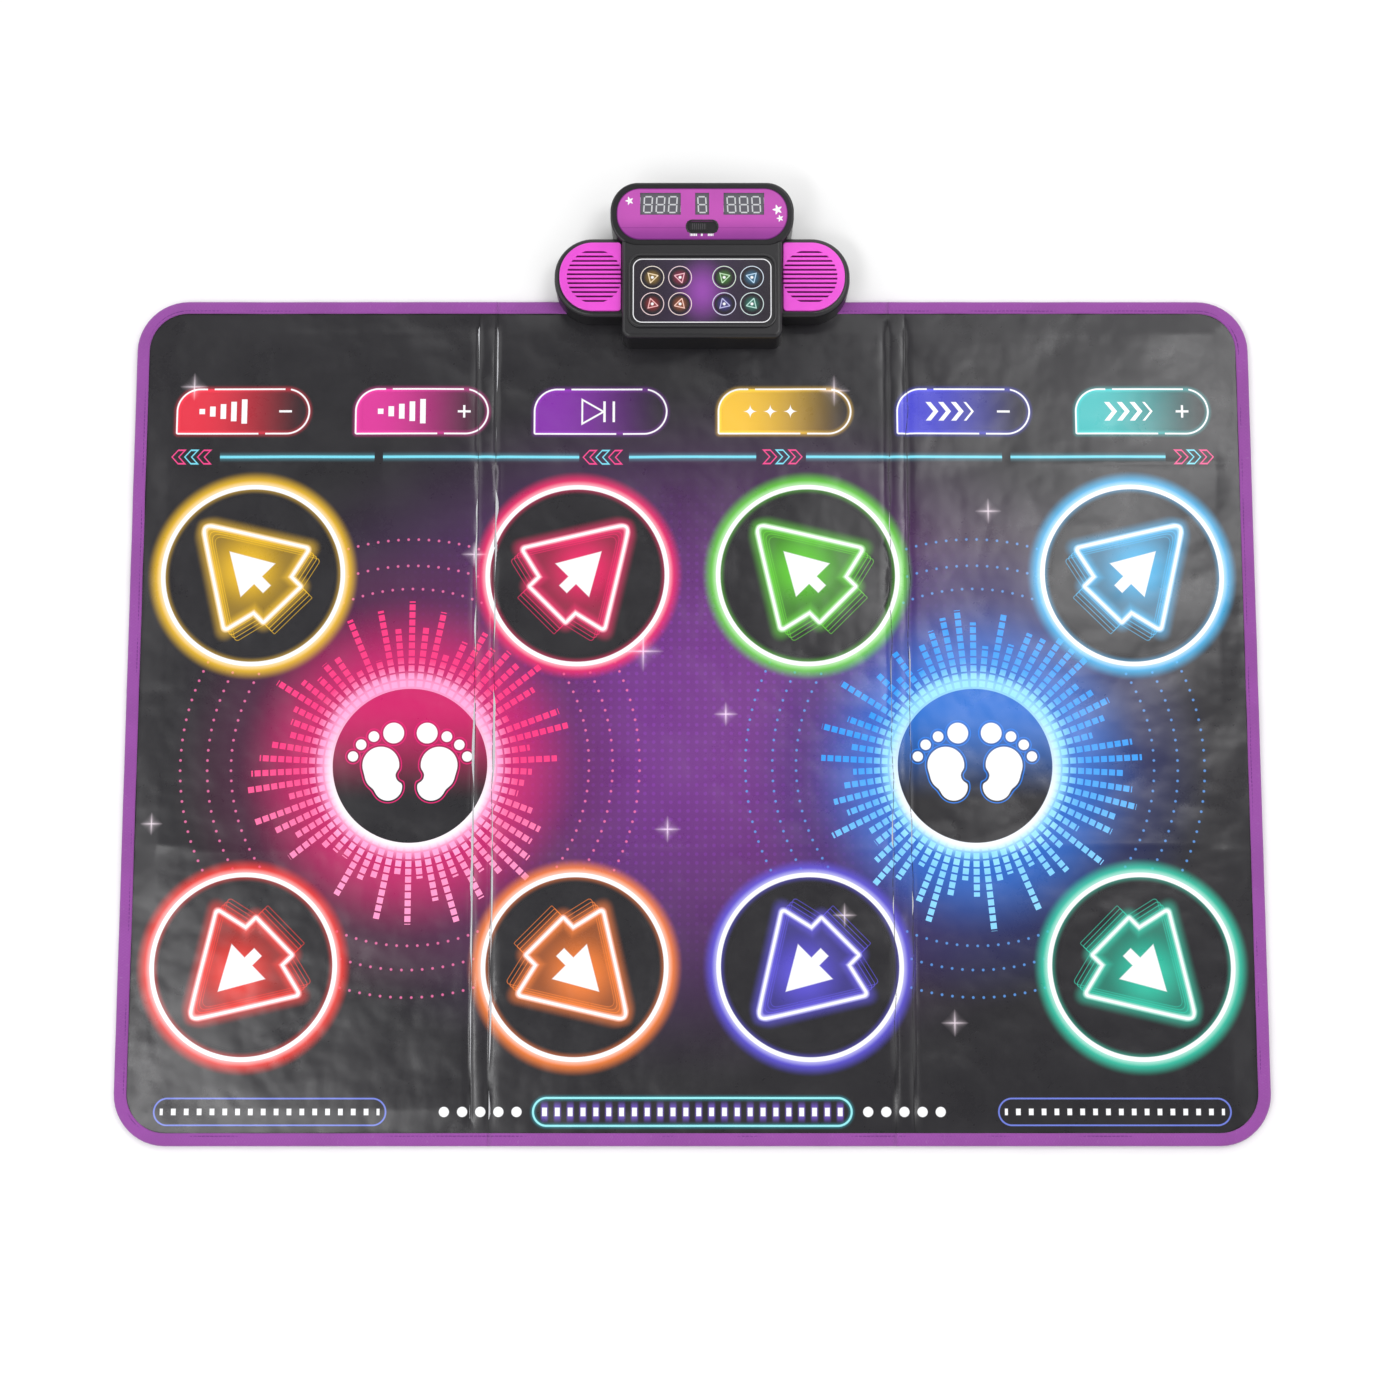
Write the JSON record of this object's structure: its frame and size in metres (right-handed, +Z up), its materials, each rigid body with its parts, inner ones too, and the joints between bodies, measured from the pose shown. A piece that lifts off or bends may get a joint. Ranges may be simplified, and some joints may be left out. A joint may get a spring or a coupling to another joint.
{
  "type": "dance mat",
  "caption": "Folding electronic dance mat with padded panels, round arrow pads, touch keys and a battery console with speakers and a digit display.",
  "frame": {"origin": "Middle of the footprint of mat and console, on the floor.", "axes": "+X to the player's right, +Y away from the player towards the console, +Z up."},
  "size_m": [1.055, 0.89, 0.0537],
  "materials": {
    "backing_cloth": "dense non-slip backing cloth",
    "foam": "closed-cell foam",
    "circuit_film": "clear film with printed grey contacts",
    "spacer_sponge": "thin sponge",
    "printed_film": "glossy black laminated film, colour printed from behind",
    "edge_tape": "woven purple binding tape, stitched",
    "case_black": "satin black moulded plastic",
    "orchid_panel": "orchid printed panel under gloss",
    "smoked_lens": "smoked grey window",
    "digit_module": "digit block with pale unlit segments",
    "circuit_board": "green solder mask",
    "switch_black": "fine-grained black",
    "magenta_cap": "magenta moulded plastic",
    "speaker": "black paper cone on a pressed frame",
    "label_film": "printed label",
    "lamp_lens": "translucent lamp window",
    "battery": "plain dry cell",
    "contact_metal": "plated spring steel",
    "steel": "zinc-plated screw",
    "foot_rubber": "soft black rubber",
    "socket_plastic": "natural nylon"
  },
  "bodies": {
    "root": {"cloth_centre": "backing_cloth", "foam_centre": "foam", "circuit_film_centre": "circuit_film", "spacer_centre": "spacer_sponge", "cover_centre": "printed_film", "edge_tape_centre": "edge_tape", "console_base": "case_black", "console_top": "case_black", "pod_shell": "case_black", "display_panel": "orchid_panel", "display_lens": "smoked_lens", "digit_modules": "digit_module", "display_board": "circuit_board", "switch_body": "switch_black", "lamp_label": "label_film", "lamp_lenses": "lamp_lens", "lamp_board": "circuit_board", "main_board": "circuit_board", "board_screws": "steel", "batteries": "battery", "battery_contacts": "contact_metal", "case_screws": "steel", "rubber_feet": "foot_rubber", "clamp_plate": "case_black", "clamp_screws": "steel", "mat_tail": "circuit_film", "tail_socket": "socket_plastic", "speaker_cap_left": "magenta_cap", "speaker_cap_right": "magenta_cap", "speaker_left": "speaker", "speaker_right": "speaker"},
    "left_flap": {"cloth_left": "backing_cloth", "foam_left": "foam", "circuit_film_left": "circuit_film", "spacer_left": "spacer_sponge", "cover_left": "printed_film", "edge_tape_left": "edge_tape"},
    "right_flap": {"cloth_right": "backing_cloth", "foam_right": "foam", "circuit_film_right": "circuit_film", "spacer_right": "spacer_sponge", "cover_right": "printed_film", "edge_tape_right": "edge_tape"},
    "yellow_pad": {"yellow_pad": "printed_film"},
    "pink_pad": {"pink_pad": "printed_film"},
    "green_pad": {"green_pad": "printed_film"},
    "cyan_pad": {"cyan_pad": "printed_film"},
    "red_pad": {"red_pad": "printed_film"},
    "orange_pad": {"orange_pad": "printed_film"},
    "violet_pad": {"violet_pad": "printed_film"},
    "teal_pad": {"teal_pad": "printed_film"},
    "volume_down_key": {"volume_down_key": "printed_film"},
    "volume_up_key": {"volume_up_key": "printed_film"},
    "start_key": {"start_key": "printed_film"},
    "level_key": {"level_key": "printed_film"},
    "speed_down_key": {"speed_down_key": "printed_film"},
    "speed_up_key": {"speed_up_key": "printed_film"},
    "switch_knob": {"switch_knob": "switch_black"},
    "battery_door": {"battery_door": "case_black", "door_screw": "steel"}
  },
  "joints": [
    {"name": "left_fold", "type": "hinge", "parent": "root", "child": "left_flap", "pos_m": [-0.194, 0, 0.0066], "axis": [0, 1, 0], "range_deg": [0, 120]},
    {"name": "right_fold", "type": "hinge", "parent": "root", "child": "right_flap", "pos_m": [0.194, 0, 0.0066], "axis": [0, -1, 0], "range_deg": [0, 120]},
    {"name": "yellow_press", "type": "slide", "parent": "left_flap", "child": "yellow_pad", "axis": [0, 0, -1], "range_m": [0, 0.0012], "stiffness_N_per_m": 2000, "springref_m": -0.0005},
    {"name": "pink_press", "type": "slide", "parent": "root", "child": "pink_pad", "axis": [0, 0, -1], "range_m": [0, 0.0012], "stiffness_N_per_m": 2000, "springref_m": -0.0005},
    {"name": "green_press", "type": "slide", "parent": "root", "child": "green_pad", "axis": [0, 0, -1], "range_m": [0, 0.0012], "stiffness_N_per_m": 2000, "springref_m": -0.0005},
    {"name": "cyan_press", "type": "slide", "parent": "right_flap", "child": "cyan_pad", "axis": [0, 0, -1], "range_m": [0, 0.0012], "stiffness_N_per_m": 2000, "springref_m": -0.0005},
    {"name": "red_press", "type": "slide", "parent": "left_flap", "child": "red_pad", "axis": [0, 0, -1], "range_m": [0, 0.0012], "stiffness_N_per_m": 2000, "springref_m": -0.0005},
    {"name": "orange_press", "type": "slide", "parent": "root", "child": "orange_pad", "axis": [0, 0, -1], "range_m": [0, 0.0012], "stiffness_N_per_m": 2000, "springref_m": -0.0005},
    {"name": "violet_press", "type": "slide", "parent": "root", "child": "violet_pad", "axis": [0, 0, -1], "range_m": [0, 0.0012], "stiffness_N_per_m": 2000, "springref_m": -0.0005},
    {"name": "teal_press", "type": "slide", "parent": "right_flap", "child": "teal_pad", "axis": [0, 0, -1], "range_m": [0, 0.0012], "stiffness_N_per_m": 2000, "springref_m": -0.0005},
    {"name": "volume_down_press", "type": "slide", "parent": "left_flap", "child": "volume_down_key", "axis": [0, 0, -1], "range_m": [0, 0.0012], "stiffness_N_per_m": 800, "springref_m": -0.0005},
    {"name": "volume_up_press", "type": "slide", "parent": "left_flap", "child": "volume_up_key", "axis": [0, 0, -1], "range_m": [0, 0.0012], "stiffness_N_per_m": 800, "springref_m": -0.0005},
    {"name": "start_press", "type": "slide", "parent": "root", "child": "start_key", "axis": [0, 0, -1], "range_m": [0, 0.0012], "stiffness_N_per_m": 800, "springref_m": -0.0005},
    {"name": "level_press", "type": "slide", "parent": "root", "child": "level_key", "axis": [0, 0, -1], "range_m": [0, 0.0012], "stiffness_N_per_m": 800, "springref_m": -0.0005},
    {"name": "speed_down_press", "type": "slide", "parent": "right_flap", "child": "speed_down_key", "axis": [0, 0, -1], "range_m": [0, 0.0012], "stiffness_N_per_m": 800, "springref_m": -0.0005},
    {"name": "speed_up_press", "type": "slide", "parent": "right_flap", "child": "speed_up_key", "axis": [0, 0, -1], "range_m": [0, 0.0012], "stiffness_N_per_m": 800, "springref_m": -0.0005},
    {"name": "switch_slide", "type": "slide", "parent": "root", "child": "switch_knob", "axis": [1, 0, 0], "range_m": [0, 0.0065]},
    {"name": "door_release", "type": "slide", "parent": "root", "child": "battery_door", "axis": [0, 0, -1], "range_m": [0, 0.02]}
  ]
}
